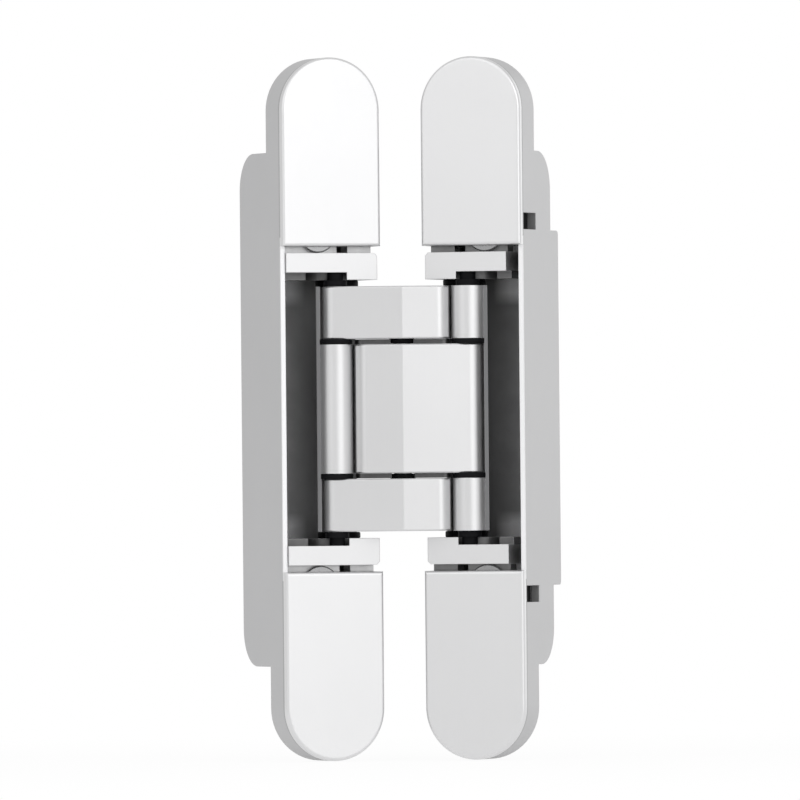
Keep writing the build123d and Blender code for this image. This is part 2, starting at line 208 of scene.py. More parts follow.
# Sides and steps of the grown shapes
RING_SIDES = 72
RING_EDGE_STEPS = 4
HEAD_SIDES = 64
HEXAGON_SIDES = 6
SHANK_SIDES = 48
THREAD_STEPS = 32
CREST_SIDES = 4
SHARP_ANGLE = radians(35)

# White surroundings and floor of the studio
WHITE = (1, 1, 1, 1)
FLOOR_RADIUS = 2.5
FLOOR_SIDES = 96
FLOOR_GAP = 0.2 * MM
FLOOR_FADE_START = 0.1
FLOOR_FADE_END = 0.35


class Finish(NamedTuple):
    """How metallic a metal looks, its belt lines and the height of its grain."""

    metallic: float
    line_width: float
    line_length: float
    grain_height: float


PLATING = Finish(metallic=0.9, line_width=0.25 * MM, line_length=30 * MM, grain_height=0.012 * MM)
CAST_COAT = Finish(metallic=0.55, line_width=0.6 * MM, line_length=12 * MM, grain_height=0.02 * MM)
BLASTED = Finish(metallic=0.9, line_width=0.5 * MM, line_length=4 * MM, grain_height=0.02 * MM)
SATIN = Finish(metallic=0.85, line_width=0.2 * MM, line_length=14 * MM, grain_height=0.012 * MM)
PLAIN = Finish(metallic=0.85, line_width=0.3 * MM, line_length=8 * MM, grain_height=0.012 * MM)
GROUND = Finish(metallic=1.0, line_width=3 * MM, line_length=0.12 * MM, grain_height=0.006 * MM)
ZINC = Finish(metallic=1.0, line_width=0.4 * MM, line_length=3 * MM, grain_height=0.006 * MM)


class Lamp(NamedTuple):
    """Place of a soft light from the hinge's middle, and the width of its disk."""

    across: float
    away: float
    up: float
    width: float


LAMPS = {
    "key": Lamp(across=0.62, away=-1.03, up=0.45, width=1.2),
    "fill": Lamp(across=-0.42, away=-0.5, up=0.34, width=0.65),
    "rim": Lamp(across=0.67, away=0.74, up=0.1, width=0.8),
    "top": Lamp(across=0.0, away=-0.4, up=0.6, width=0.5),
}


class Wire:
    """An output socket that takes part in sums: each sum on it adds a Math node."""

    def __init__(self, graph, socket):
        self.graph = graph
        self.socket = socket

    def math(self, operation, first, second):
        return self.graph.node("ShaderNodeMath", {"operation": operation}, {0: first, 1: second})

    def __add__(self, other):
        return self.math("ADD", self, other)

    def __radd__(self, other):
        return self.math("ADD", other, self)

    def __sub__(self, other):
        return self.math("SUBTRACT", self, other)

    def __rsub__(self, other):
        return self.math("SUBTRACT", other, self)

    def __mul__(self, other):
        return self.math("MULTIPLY", self, other)

    def __rmul__(self, other):
        return self.math("MULTIPLY", other, self)

    def __lt__(self, other):
        return self.math("LESS_THAN", self, other)

    def __gt__(self, other):
        return self.math("GREATER_THAN", self, other)

    def __abs__(self):
        return self.math("ABSOLUTE", self, 0.0)


class Graph:
    """Adds nodes to one node tree."""

    def __init__(self, tree):
        self.tree = tree

    def node(self, kind, settings=None, inputs=None, output=0):
        """Add a node: its settings first, then the values or links of its sockets."""
        made = self.tree.nodes.new(kind)
        for key, value in (settings or {}).items():
            setattr(made, key, value)
        for key, value in (inputs or {}).items():
            for each in value if isinstance(value, list) else [value]:
                if isinstance(each, Wire):
                    self.tree.links.new(each.socket, made.inputs[key])
                else:
                    made.inputs[key].default_value = each
        return Wire(self, made.outputs[output]) if made.outputs else None

    def blend(self, share, first, second):
        """Colour between two colours."""
        inputs = {0: share, MIX_FIRST: first, MIX_SECOND: second}
        return self.node("ShaderNodeMix", {"data_type": "RGBA"}, inputs, MIX_RESULT)


class HingeFinishSettings(bpy.types.PropertyGroup):
    """Colours and surface values of the hinge's finishes."""

    cover_colour: bpy.props.FloatVectorProperty(
        name="Cover colour",
        description="Satin plating of the front covers",
        subtype="COLOR",
        size=3,
        default=(0.74, 0.74, 0.745),
    )
    body_colour: bpy.props.FloatVectorProperty(
        name="Body colour",
        description="Silver coat on the outside of the cast leaves",
        subtype="COLOR",
        size=3,
        default=(0.55, 0.55, 0.555),
    )
    # Raw casting of the pockets, darkened further as painted shade
    pocket_cast_and_shade_colour: bpy.props.FloatVectorProperty(
        name="Pocket colour",
        description="Raw casting inside the pockets of the leaves",
        subtype="COLOR",
        size=3,
        default=(0.445, 0.445, 0.45),
    )
    arm_colour: bpy.props.FloatVectorProperty(
        name="Arm colour",
        description="Satin metal of the arms",
        subtype="COLOR",
        size=3,
        default=(0.70, 0.70, 0.705),
    )
    link_colour: bpy.props.FloatVectorProperty(
        name="Link colour",
        description="Plain metal of the links' webs beside the barrels",
        subtype="COLOR",
        size=3,
        default=(0.2, 0.2, 0.205),
    )
    block_colour: bpy.props.FloatVectorProperty(
        name="Block colour",
        description="Cast metal of the end blocks",
        subtype="COLOR",
        size=3,
        default=(0.72, 0.72, 0.725),
    )
    pin_colour: bpy.props.FloatVectorProperty(
        name="Pin colour",
        description="Ground steel of the pins and sleeves",
        subtype="COLOR",
        size=3,
        default=(0.45, 0.45, 0.46),
    )
    screw_colour: bpy.props.FloatVectorProperty(
        name="Screw colour",
        description="Zinc plating of the screws",
        subtype="COLOR",
        size=3,
        default=(0.33, 0.33, 0.335),
    )
    washer_colour: bpy.props.FloatVectorProperty(
        name="Washer colour",
        description="Black nylon of the washers and rollers",
        subtype="COLOR",
        size=3,
        default=(0.006, 0.006, 0.007),
    )
    satin_roughness: bpy.props.FloatProperty(
        name="Satin roughness",
        description="Roughness of the plated and satin metal",
        subtype="FACTOR",
        min=0,
        max=1,
        default=0.36,
    )
    cast_roughness: bpy.props.FloatProperty(
        name="Cast roughness",
        description="Roughness of the coated castings",
        subtype="FACTOR",
        min=0,
        max=1,
        default=0.5,
    )
    grain_size: bpy.props.FloatProperty(
        name="Grain size",
        description="Width of one grain of the blasted metal",
        subtype="DISTANCE",
        unit="LENGTH",
        default=0.3 * MM,
    )
    edge_round: bpy.props.FloatProperty(
        name="Edge rounding",
        description="Radius of the broken edges on castings and arms",
        subtype="DISTANCE",
        unit="LENGTH",
        default=0.22 * MM,
    )


class HingeScrewSettings(bpy.types.PropertyGroup):
    """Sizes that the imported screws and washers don't give."""

    head_edge: bpy.props.FloatProperty(
        name="Head chamfer",
        description="Chamfer round the top of a screw head",
        subtype="DISTANCE",
        unit="LENGTH",
        default=0.25 * MM,
    )
    socket_radius: bpy.props.FloatProperty(
        name="Socket radius",
        description="Radius of the hexagon socket at its corners",
        subtype="DISTANCE",
        unit="LENGTH",
        default=1.6 * MM,
    )
    socket_depth: bpy.props.FloatProperty(
        name="Socket depth",
        description="Depth of the hexagon socket",
        subtype="DISTANCE",
        unit="LENGTH",
        default=1.0 * MM,
    )
    head_height: bpy.props.FloatProperty(
        name="Head height",
        description="Height of a screw head",
        subtype="DISTANCE",
        unit="LENGTH",
        default=1.4 * MM,
    )
    shank_radius: bpy.props.FloatProperty(
        name="Shank radius",
        description="Radius over the crests of the thread",
        subtype="DISTANCE",
        unit="LENGTH",
        default=2.0 * MM,
    )
    thread_pitch: bpy.props.FloatProperty(
        name="Thread pitch",
        description="Distance between the turns of the thread",
        subtype="DISTANCE",
        unit="LENGTH",
        default=0.7 * MM,
    )
    thread_depth: bpy.props.FloatProperty(
        name="Thread depth",
        description="Height of the thread's crests above its core",
        subtype="DISTANCE",
        unit="LENGTH",
        default=0.3 * MM,
    )
    washer_edge: bpy.props.FloatProperty(
        name="Washer edge",
        description="Rounding of the nylon washers' edges",
        subtype="DISTANCE",
        unit="LENGTH",
        default=0.3 * MM,
    )


class HingeStageSettings(bpy.types.PropertyGroup):
    """Camera, light and floor of the studio."""

    camera_distance: bpy.props.FloatProperty(
        name="Camera distance",
        description="From the camera to the front of the hinge",
        subtype="DISTANCE",
        unit="LENGTH",
        default=3.0,
    )
    pixels_per_mm: bpy.props.FloatProperty(
        name="Image scale",
        description="Image pixels for each millimetre at the front of the hinge",
        default=4.3985,
    )
    image_size: bpy.props.IntProperty(
        name="Image size",
        description="Width and height of the image in pixels",
        subtype="PIXEL",
        default=800,
    )
    offset_right: bpy.props.FloatProperty(
        name="Offset right",
        description="How far right of the middle the hinge's centre stands",
        subtype="PIXEL",
        default=2.85,
    )
    offset_down: bpy.props.FloatProperty(
        name="Offset down",
        description="How far below the middle the hinge's centre stands",
        subtype="PIXEL",
        default=8.45,
    )
    yaw: bpy.props.FloatProperty(
        name="Yaw",
        description="Turn of the camera round the hinge, about the upright axis",
        subtype="ANGLE",
        unit="ROTATION",
        default=radians(-1.119),
    )
    pitch: bpy.props.FloatProperty(
        name="Pitch",
        description="Tilt of the camera",
        subtype="ANGLE",
        unit="ROTATION",
        default=radians(0.433),
    )
    roll: bpy.props.FloatProperty(
        name="Roll",
        description="Turn of the camera about its own axis",
        subtype="ANGLE",
        unit="ROTATION",
        default=radians(0.538),
    )
    room_light: bpy.props.FloatProperty(
        name="Room light",
        description="Even light of the studio on matt surfaces",
        min=0,
        default=0.75,
    )
    mirror_light: bpy.props.FloatProperty(
        name="Mirrored light",
        description="Brightness of the studio's walls in shiny surfaces",
        min=0,
        default=0.77,
    )
    key_power: bpy.props.FloatProperty(
        name="Key light",
        description="Power of the large soft light at the right",
        unit="POWER",
        default=3.7,
    )
    fill_power: bpy.props.FloatProperty(
        name="Fill light",
        description="Power of the smaller soft light at the left",
        unit="POWER",
        default=0.62,
    )
    rim_power: bpy.props.FloatProperty(
        name="Rim light",
        description="Power of the soft light behind the right side",
        unit="POWER",
        default=0.8,
    )
    top_power: bpy.props.FloatProperty(
        name="Top light",
        description="Power of the soft light overhead",
        unit="POWER",
        default=0.3,
    )
    floor_glow: bpy.props.FloatProperty(
        name="Floor glow",
        description="Share of white paper light in the floor beside the hinge",
        subtype="FACTOR",
        min=0,
        max=1,
        default=0.93,
    )
    floor_colour: bpy.props.FloatVectorProperty(
        name="Floor colour",
        description="Pale floor under the hinge",
        subtype="COLOR",
        size=3,
        default=(0.9, 0.9, 0.9),
    )


# Materials


def new_material(name):
    """An empty material and the graph of its nodes."""
    material = bpy.data.materials.new(name)
    material.use_nodes = True
    material.node_tree.nodes.clear()
    return material, Graph(material.node_tree)


def noise(graph, place, size, detail):
    """Noise from 0 to 1 with blotches of this size."""
    return graph.node("ShaderNodeTexNoise", None, {"Vector": place, "Scale": 1 / size, "Detail": detail})


def lines(graph, place, width, length):
    """Noise drawn out into upright lines of this width and length."""
    stretch = (1 / width, 1 / width, 1 / length)
    stretched = graph.node("ShaderNodeMapping", None, {"Vector": place, "Scale": stretch})
    return noise(graph, stretched, 1.0, COARSE_DETAIL)


def shade(colour, share=1.0):
    """A share of a colour, with alpha."""
    return (*(channel * share for channel in colour), 1.0)


def mottle(graph, pattern, colour, shares):
    """A colour that goes from a darker to a lighter shade with a pattern."""
    dark, light = (shade(colour, share) for share in shares)
    return graph.blend(pattern, dark, light)


def dot(graph, first, second):
    """Dot product of two vectors."""
    vectors = {0: first, 1: second}
    return graph.node("ShaderNodeVectorMath", {"operation": "DOT_PRODUCT"}, vectors, "Value")


def rise(graph, value, start, end):
    """0 before start and 1 after end, with a straight rise between them."""
    return graph.node("ShaderNodeMapRange", None, {"Value": value, "From Min": start, "From Max": end})


def metal(name, colour, roughness, finish, settings, mark=None):
    """Satin metal: blasted grain, faint lines of the finishing belt and brighter worn edges."""
    material, graph = new_material(name)
    place = graph.node("ShaderNodeTexCoord", None, None, "Object")
    grain = noise(graph, place, settings.grain_size, FINE_DETAIL)
    tone = noise(graph, place, TONE_SIZE, COARSE_DETAIL)
    belt = lines(graph, place, finish.line_width, finish.line_length)
    rounded = graph.node("ShaderNodeBevel", {"samples": EDGE_SAMPLES}, {"Radius": settings.edge_round})
    flat = graph.node("ShaderNodeNewGeometry", None, None, "Normal")
    along = dot(graph, rounded, flat)
    edge = graph.node("ShaderNodeClamp", None, {"Value": (1 - along) * EDGE_GAIN})
    base = mottle(graph, tone * TONE_SHARE + belt * BELT_SHARE, colour, TONE_SHADES)
    if mark:
        base = mark(graph, place, base)
    worn = tuple(min(1.0, channel) for channel in shade(colour, WORN_SHADE))
    base = graph.blend(edge * EDGE_SHARE, base, worn)
    relief = graph.node(
        "ShaderNodeBump",
        None,
        {
            "Strength": RELIEF_STRENGTH,
            "Distance": finish.grain_height,
            "Height": grain * GRAIN_RELIEF + belt * BELT_RELIEF,
            "Normal": rounded,
        },
    )
    uneven = roughness + (grain - NOISE_MIDDLE) * GRAIN_ROUGHNESS
    uneven = uneven + (belt - NOISE_MIDDLE) * BELT_ROUGHNESS
    shader = graph.node(
        "ShaderNodeBsdfPrincipled",
        None,
        {
            "Base Color": base,
            "Metallic": finish.metallic,
            "Specular IOR Level": METAL_SPECULAR,
            "Roughness": uneven,
            "Normal": relief,
        },
    )
    graph.node("ShaderNodeOutputMaterial", None, {"Surface": shader})
    return material


def nylon(name, colour, settings):
    """Black moulded nylon with a faint grain."""
    material, graph = new_material(name)
    place = graph.node("ShaderNodeTexCoord", None, None, "Object")
    grain = noise(graph, place, settings.grain_size, FINE_DETAIL)
    tone = noise(graph, place, NYLON_TONE_SIZE, COARSE_DETAIL)
    relief = graph.node(
        "ShaderNodeBump",
        None,
        {"Strength": NYLON_RELIEF, "Distance": NYLON_GRAIN_HEIGHT, "Height": grain},
    )
    shader = graph.node(
        "ShaderNodeBsdfPrincipled",
        None,
        {
            "Base Color": mottle(graph, tone, colour, NYLON_SHADES),
            "Roughness": NYLON_ROUGHNESS + (grain - NOISE_MIDDLE) * NYLON_GRAIN_ROUGHNESS,
            "Specular IOR Level": NYLON_SPECULAR,
            "Normal": relief,
        },
    )
    graph.node("ShaderNodeOutputMaterial", None, {"Surface": shader})
    return material


def leaf_place(graph, place, leaf):
    """Distance outwards, depth and height of a place in a leaf's own frame."""
    local = graph.node(
        "ShaderNodeMapping",
        {"vector_type": "TEXTURE"},
        {
            "Vector": place,
            "Location": LEAF_MATRIX[leaf].translation,
            "Rotation": (0, 0, LEAF_TURN[leaf]),
        },
    )
    across, depth, up = [graph.node("ShaderNodeSeparateXYZ", None, {0: local}, way) for way in "XYZ"]
    return across * OUTWARD[leaf], depth, abs(up)


def view_place(graph, place):
    """Distances of a place across the hinge and away behind the leaves' fronts."""
    offset = graph.node("ShaderNodeVectorMath", {"operation": "SUBTRACT"}, {0: place, 1: MIDDLE})
    return [dot(graph, offset, way) for way in (ACROSS, AWAY)]


def leaf_marks(leaf, settings):
    """Marks a leaf: raw casting with painted shade and painted light in its pocket, dark in its windows
    with painted shadow on their floors, bright in front, painted shade by the cover.
    """

    def mark(graph, place, base):
        outward, depth, height = leaf_place(graph, place, leaf)
        opening = height < OPENING_TOP
        front = opening * (depth < WALL_FRONT_BACK)
        pocket = opening * (abs(outward) < POCKET_HALF_WIDTH) * (depth < POCKET_BACK) * (1 - front)
        window = (height > WINDOW_LOW) * (height < WINDOW_HIGH) * (outward > WINDOW_FLOOR)
        window = window * (outward < POCKET_HALF_WIDTH) * (depth > WINDOW_FRONT) * (depth < WINDOW_BACK)
        # Painted shadow: the floor of each window is painted black
        hole = window * (outward < WINDOW_HOLE)
        joint = (height > POCKET_TOP) * (depth > COVER_BACK)
        joint = joint * (1 - rise(graph, depth, COVER_BACK, JOINT_SHADE_BACK))
        pocket_noise = noise(graph, place, POCKET_NOISE_SIZE, FINE_DETAIL)
        # Painted light and shade over this leaf's whole pocket
        tone = POCKET_PAINTED_LIGHT_AND_SHADE[leaf]
        raw = mottle(graph, pocket_noise, settings.pocket_cast_and_shade_colour, [share * tone for share in RAW_SHADES])
        # Painted shade, darker towards the arms
        deep = shade(settings.pocket_cast_and_shade_colour, DEEP_PAINTED_SHADE * tone)
        raw = graph.blend(rise(graph, outward, DEEP_START, DEEP_END), raw, deep)
        # Painted light, a lighter patch at the top of the pocket towards its outer wall
        glow = rise(graph, height, GLOW_LOW, GLOW_HIGH) * rise(graph, outward, GLOW_INNER, GLOW_OUTER)
        raw = graph.blend(glow, raw, shade(settings.pocket_cast_and_shade_colour, TOP_PAINTED_LIGHT))
        # Painted shade beside the blocks' lips
        beside = (height > LIP_LOW) * (height < LIP_TOP)
        raw = graph.blend(beside, raw, shade(settings.pocket_cast_and_shade_colour, LIP_PAINTED_SHADE))
        # Painted shade on the flange beside the cover
        base = graph.blend(joint * JOINT_STRENGTH, base, shade(settings.body_colour, JOINT_PAINTED_SHADE))
        base = graph.blend(pocket, base, raw)
        base = graph.blend(window, base, shade(settings.body_colour, JAMB_SHADE))
        base = graph.blend(hole, base, shade(settings.washer_colour))
        return graph.blend(front, base, shade(settings.body_colour, FRONT_SHADE))

    return mark


def block_marks(leaf, settings):
    """Marks an end block: painted shade in the recess under its lip and on the tail above it."""

    def mark(graph, place, base):
        outward, depth, height = leaf_place(graph, place, leaf)
        # Painted shade in the recess under the lip
        recess = (height < LIP_LOW + SLACK) * (depth > BLOCK_FRONT + BLOCK_RIM)
        recess = recess * (outward > BLOCK_RIM - BLOCK_INNER_END)
        shade_noise = noise(graph, place, SHADE_NOISE_SIZE, FINE_DETAIL)
        painted_shade = mottle(graph, shade_noise, settings.block_colour, RECESS_PAINTED_SHADES)
        base = graph.blend(recess, base, painted_shade)
        # Painted shade on the tail, darker on the right leaf than on the left
        tail = height > LIP_TOP + SLACK
        painted_tail_shade = mottle(graph, shade_noise, settings.block_colour, TAIL_PAINTED_SHADES[leaf])
        return graph.blend(tail, base, painted_tail_shade)

    return mark


def arm_marks(settings):
    """Marks the arms: painted shade on the pads between them and on the heels behind the barrels."""

    def mark(graph, place, base):
        height = abs(graph.node("ShaderNodeSeparateXYZ", None, {0: place}, "Z"))
        # Painted shade on the pads between the arms
        pad = (height > ARM_GAP_LOW + SLACK) * (height < ARM_GAP_HIGH - SLACK)
        shade_noise = noise(graph, place, SHADE_NOISE_SIZE, FINE_DETAIL)
        painted_shade = mottle(graph, shade_noise, settings.arm_colour, PAD_PAINTED_SHADES)
        base = graph.blend(pad, base, painted_shade)
        # Painted shadow on the heels behind the barrels
        across, away = view_place(graph, place)
        aside = rise(graph, abs(abs(across) - HEEL_ACROSS), HEEL_FADE, HEEL_PATCH)
        heel = aside * rise(graph, abs(away - HEEL_DEPTH), HEEL_FADE, HEEL_PATCH)
        return graph.blend(heel, base, shade(settings.arm_colour, HEEL_PAINTED_SHADE))

    return mark


def link_marks(settings):
    """Marks the links: plainer metal on the webs outside the barrels."""

    def mark(graph, place, base):
        across, _ = view_place(graph, place)
        web = abs(across) > WEB_INNER_FACE
        return graph.blend(web, base, shade(settings.link_colour))

    return mark


def dress(nodes, material):
    """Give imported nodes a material."""
    for name in nodes:
        slots = frame["nodes"][name].data.materials
        slots.clear()
        slots.append(material)


# Shapes grown by geometry nodes


def new_shape_tree(name, sizes):
    """A geometry node tree with named size inputs, and wires from its inputs."""
    tree = bpy.data.node_groups.new(name, "GeometryNodeTree")
    tree.interface.new_socket("Geometry", in_out="INPUT", socket_type="NodeSocketGeometry")
    for size in sizes:
        tree.interface.new_socket(size, in_out="INPUT", socket_type="NodeSocketFloat")
    tree.interface.new_socket("Material", in_out="INPUT", socket_type="NodeSocketMaterial")
    tree.interface.new_socket("Geometry", in_out="OUTPUT", socket_type="NodeSocketGeometry")
    graph = Graph(tree)
    entry = tree.nodes.new("NodeGroupInput")
    wires = {socket.name: Wire(graph, socket) for socket in entry.outputs if socket.name}
    return tree, graph, wires


def close_shape_tree(graph, wires, shape):
    """Put the shape on every point, make it real and give it its material."""
    spots = {"Points": wires["Geometry"], "Instance": shape}
    placed = graph.node("GeometryNodeInstanceOnPoints", None, spots)
    real = graph.node("GeometryNodeRealizeInstances", None, {"Geometry": placed})
    done = graph.node("GeometryNodeSetMaterial", None, {"Geometry": real, "Material": wires["Material"]})
    graph.node("NodeGroupOutput", None, {"Geometry": done})


def shift_up(graph, shape, height):
    """A shape moved along its upright axis."""
    lift = graph.node("ShaderNodeCombineXYZ", None, {"Z": height})
    return graph.node("GeometryNodeTransform", None, {"Geometry": shape, "Translation": lift})


def drum(graph, sides, radius, depth):
    """An upright cylinder."""
    sizes = {"Vertices": sides, "Radius": radius, "Depth": depth}
    return graph.node("GeometryNodeMeshCylinder", None, sizes)


def circle(graph, sides, radius):
    """A round curve."""
    sizes = {"Resolution": sides, "Radius": radius}
    return graph.node("GeometryNodeCurvePrimitiveCircle", None, sizes)


def ring_tree():
    """Flat rings with rounded edges, one on each point."""
    sizes = ("Outer Radius", "Bore Radius", "Thickness", "Edge Radius")
    tree, graph, wires = new_shape_tree("Nylon rings", sizes)
    outer, bore = wires["Outer Radius"], wires["Bore Radius"]
    path = circle(graph, RING_SIDES, (outer + bore) * 0.5)
    upright = graph.node("GeometryNodeSetCurveNormal", {"mode": "Z_UP"}, {"Curve": path})
    section = graph.node(
        "GeometryNodeCurvePrimitiveQuadrilateral",
        None,
        {"Width": outer - bore, "Height": wires["Thickness"]},
    )
    rounded = graph.node(
        "GeometryNodeFilletCurve",
        {"mode": "POLY"},
        {
            "Curve": section,
            "Radius": wires["Edge Radius"],
            "Count": RING_EDGE_STEPS,
            "Limit Radius": True,
        },
    )
    ring = graph.node("GeometryNodeCurveToMesh", None, {"Curve": upright, "Profile Curve": rounded})
    close_shape_tree(graph, wires, ring)
    return tree


def screw_tree():
    """Socket screws with a chamfered head and a thread, heads up, one on each point."""
    sizes = (
        "Head Radius",
        "Head Height",
        "Head Chamfer",
        "Socket Radius",
        "Socket Depth",
        "Shank Radius",
        "Shank Length",
        "Thread Depth",
        "Thread Pitch",
    )
    tree, graph, wires = new_shape_tree("Socket screws", sizes)
    straight = wires["Head Height"] - wires["Head Chamfer"]
    head = drum(graph, HEAD_SIDES, wires["Head Radius"], straight)
    head = shift_up(graph, head, straight * 0.5)
    crown = graph.node(
        "GeometryNodeMeshCone",
        None,
        {
            "Vertices": HEAD_SIDES,
            "Radius Bottom": wires["Head Radius"],
            "Radius Top": wires["Head Radius"] - wires["Head Chamfer"],
            "Depth": wires["Head Chamfer"],
        },
    )
    crown = shift_up(graph, crown, straight)
    head = graph.node("GeometryNodeMeshBoolean", {"operation": "UNION"}, {"Mesh 2": [head, crown]})
    hexagon = drum(graph, HEXAGON_SIDES, wires["Socket Radius"], wires["Socket Depth"] * 2)
    hexagon = shift_up(graph, hexagon, wires["Head Height"])
    head = graph.node(
        "GeometryNodeMeshBoolean",
        {"operation": "DIFFERENCE"},
        {"Mesh 1": head, "Mesh 2": hexagon},
    )
    core_radius = wires["Shank Radius"] - wires["Thread Depth"]
    core = drum(graph, SHANK_SIDES, core_radius, wires["Shank Length"])
    core = shift_up(graph, core, wires["Shank Length"] * -0.5)
    run = wires["Shank Length"] - wires["Thread Pitch"] * 2
    turns = graph.node("ShaderNodeMath", {"operation": "DIVIDE"}, {0: run, 1: wires["Thread Pitch"]})
    helix = graph.node(
        "GeometryNodeCurveSpiral",
        None,
        {
            "Resolution": THREAD_STEPS,
            "Rotations": turns,
            "Start Radius": core_radius,
            "End Radius": core_radius,
            "Height": run,
        },
    )
    crest = circle(graph, CREST_SIDES, wires["Thread Depth"])
    thread = graph.node(
        "GeometryNodeCurveToMesh",
        None,
        {"Curve": helix, "Profile Curve": crest, "Fill Caps": True},
    )
    thread = shift_up(graph, thread, wires["Thread Pitch"] - wires["Shank Length"])
    screw = graph.node("GeometryNodeJoinGeometry", None, {"Geometry": [head, core, thread]})
    close_shape_tree(graph, wires, screw)
    return tree


def grow(tree, name, points, values):
    """Run a shape tree on loose points and keep the result as a plain mesh."""
    seed = bpy.data.meshes.new(f"{name}_points")
    seed.from_pydata(points, [], [])
    piece = bpy.data.objects.new(name, seed)
    bpy.context.scene.collection.objects.link(piece)
    modifier = piece.modifiers.new("Shape", "NODES")
    modifier.node_group = tree
    for item in tree.interface.items_tree:
        if item.in_out == "INPUT" and item.name in values:
            modifier[item.identifier] = values[item.name]
    depsgraph = bpy.context.evaluated_depsgraph_get()
    mesh = bpy.data.meshes.new_from_object(piece.evaluated_get(depsgraph))
    piece.modifiers.clear()
    piece.data = mesh
    bpy.data.meshes.remove(seed)
    mesh.name = name
    mesh.shade_smooth()
    mesh.set_sharp_from_angle(angle=SHARP_ANGLE)
    return piece


def node_points(name, leaf):
    """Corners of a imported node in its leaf's own frame."""
    inverse = LEAF_MATRIX[leaf].inverted()
    return [inverse @ vertex.co for vertex in frame["nodes"][name].data.vertices]


def body_of_node(name):
    """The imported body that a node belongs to."""
    bodies = frame["record"]["behaviour"]["bodies"]
    return next(body for body, members in bodies.items() if name in members)


def stand_in(piece, node):
    """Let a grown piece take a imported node's place."""
    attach(piece, body_of_node(node))
    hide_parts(node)


# Studio


def ray_kind(graph, kind):
    """1 on rays of this kind and 0 on all others."""
    return graph.node("ShaderNodeLightPath", None, None, kind)


def make_world(scene, settings):
    """White surroundings, softer on matt surfaces."""
    world = bpy.data.worlds.new("White studio")
    world.use_nodes = True
    world.node_tree.nodes.clear()
    graph = Graph(world.node_tree)
    seen = ray_kind(graph, "Is Camera Ray") * (1 - settings.room_light)
    mirrored = ray_kind(graph, "Is Glossy Ray") * (settings.mirror_light - settings.room_light)
    strength = seen + mirrored + settings.room_light
    shader = graph.node("ShaderNodeBackground", None, {"Color": WHITE, "Strength": strength})
    graph.node("ShaderNodeOutputWorld", None, {"Surface": shader})
    scene.world = world


def make_floor(scene, settings):
    """Round pale floor under the hinge that keeps its shadow and fades to white far away."""
    mesh = bpy.data.meshes.new("floor")
    level = cad_low.z - FLOOR_GAP
    rim = []
    for step in range(FLOOR_SIDES):
        turn = 2 * pi * step / FLOOR_SIDES
        rim.append((MIDDLE.x + FLOOR_RADIUS * cos(turn), MIDDLE.y + FLOOR_RADIUS * sin(turn), level))
    mesh.from_pydata(rim, [], [range(FLOOR_SIDES)])
    floor = bpy.data.objects.new("floor", mesh)
    scene.collection.objects.link(floor)
    material, graph = new_material("Pale floor")
    paper = graph.node("ShaderNodeBsdfDiffuse", None, {"Color": shade(settings.floor_colour)})
    white = graph.node("ShaderNodeEmission", None, {"Color": WHITE, "Strength": 1.0})
    place = graph.node("ShaderNodeTexCoord", None, None, "Object")
    ends = {0: place, 1: MIDDLE}
    distance = graph.node("ShaderNodeVectorMath", {"operation": "DISTANCE"}, ends, "Value")
    far = rise(graph, distance, FLOOR_FADE_START, FLOOR_FADE_END)
    glow = far * (1 - settings.floor_glow) + settings.floor_glow
    seen = ray_kind(graph, "Is Camera Ray") + ray_kind(graph, "Is Glossy Ray") * settings.mirror_light
    shader = graph.node("ShaderNodeMixShader", None, {0: seen * glow, 1: paper, 2: white})
    graph.node("ShaderNodeOutputMaterial", None, {"Surface": shader})
    mesh.materials.append(material)


def make_lights(scene, settings):
    """Soft lights at the right, at the left, behind the right side and overhead."""
    powers = {
        "key": settings.key_power,
        "fill": settings.fill_power,
        "rim": settings.rim_power,
        "top": settings.top_power,
    }
    for kind, lamp in LAMPS.items():
        offset = ACROSS * lamp.across + AWAY * lamp.away + UP * lamp.up
        data = bpy.data.lights.new(f"{kind}_light", "AREA")
        data.shape = "DISK"
        data.size = lamp.width
        data.energy = powers[kind]
        light = bpy.data.objects.new(f"{kind}_light", data)
        light.location = MIDDLE + offset
        light.rotation_euler = (-offset).to_track_quat("-Z", "Y").to_euler()
        light.visible_camera = False
        scene.collection.objects.link(light)


def make_camera(scene, settings):
    """Camera at the photograph's place: in front of the hinge, nearly level."""
    forward = AWAY * cos(settings.yaw) - ACROSS * sin(settings.yaw)
    right = ACROSS * cos(settings.yaw) + AWAY * sin(settings.yaw)
    forward, up = (
        forward * cos(settings.pitch) + UP * sin(settings.pitch),
        UP * cos(settings.pitch) - forward * sin(settings.pitch),
    )
    right, up = (
        right * cos(settings.roll) - up * sin(settings.roll),
        right * sin(settings.roll) + up * cos(settings.roll),
    )
    data = bpy.data.cameras.new("camera")
    focal_pixels = settings.pixels_per_mm * settings.camera_distance / MM
    data.lens = focal_pixels * data.sensor_width / settings.image_size
    pixel = MM / settings.pixels_per_mm
    place = MIDDLE - forward * settings.camera_distance
    place += up * settings.offset_down * pixel - right * settings.offset_right * pixel
    camera = bpy.data.objects.new("camera", data)
    scene.collection.objects.link(camera)
    camera.matrix_world = Matrix.Translation(place) @ Matrix((right, up, -forward)).transposed().to_4x4()
    scene.camera = camera


# Operators


class HINGE_OT_covers(bpy.types.Operator):
    """Plate the front covers in satin silver"""

    bl_idname = "hinge.covers"
    bl_label = "Front covers"

    def execute(self, context):
        settings = context.scene.hinge_finish
        plating = metal(
            "Satin plating",
            settings.cover_colour,
            settings.satin_roughness,
            PLATING,
            settings,
        )
        dress([f"{leaf}_{end}_cover" for leaf in LEAVES for end in ("upper", "lower")], plating)
        return {"FINISHED"}


